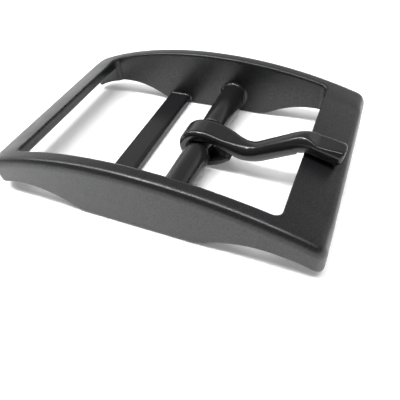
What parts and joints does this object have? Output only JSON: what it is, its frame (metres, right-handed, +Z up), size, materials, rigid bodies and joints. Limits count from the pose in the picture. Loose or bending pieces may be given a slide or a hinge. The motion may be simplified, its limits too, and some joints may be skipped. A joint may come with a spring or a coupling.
{
  "type": "belt buckle",
  "caption": "Arched black belt buckle frame with a flat keeper bar and a round necked bar carrying a bent prong that swings over and rests on the end bar.",
  "frame": {"origin": "middle of the bounding box in plan, on the plane of the two flat feet under the side rails", "axes": "+X from the keeper end bar to the end bar the prong tip rests on, +Y across the strap, +Z up through the outer, arched face"},
  "size_m": [0.0654, 0.0416, 0.0125],
  "materials": {
    "frame_black": "matt black coating on die-cast zinc alloy",
    "keeper_black": "matt black coating on zinc alloy",
    "pivot_black": "semi-matt black coating on zinc alloy, rubbed a little shinier",
    "prong_black": "semi-gloss black coating on formed steel"
  },
  "bodies": {
    "frame": {"frame": "frame_black", "keeper_bar": "keeper_black", "pivot_bar": "pivot_black"},
    "prong": {"prong": "prong_black"}
  },
  "joints": [
    {"name": "prong_hinge", "type": "hinge", "parent": "frame", "child": "prong", "pos_m": [0.0048, 0, 0.004], "axis": [0, -1, 0], "range_deg": [0, 162]}
  ]
}
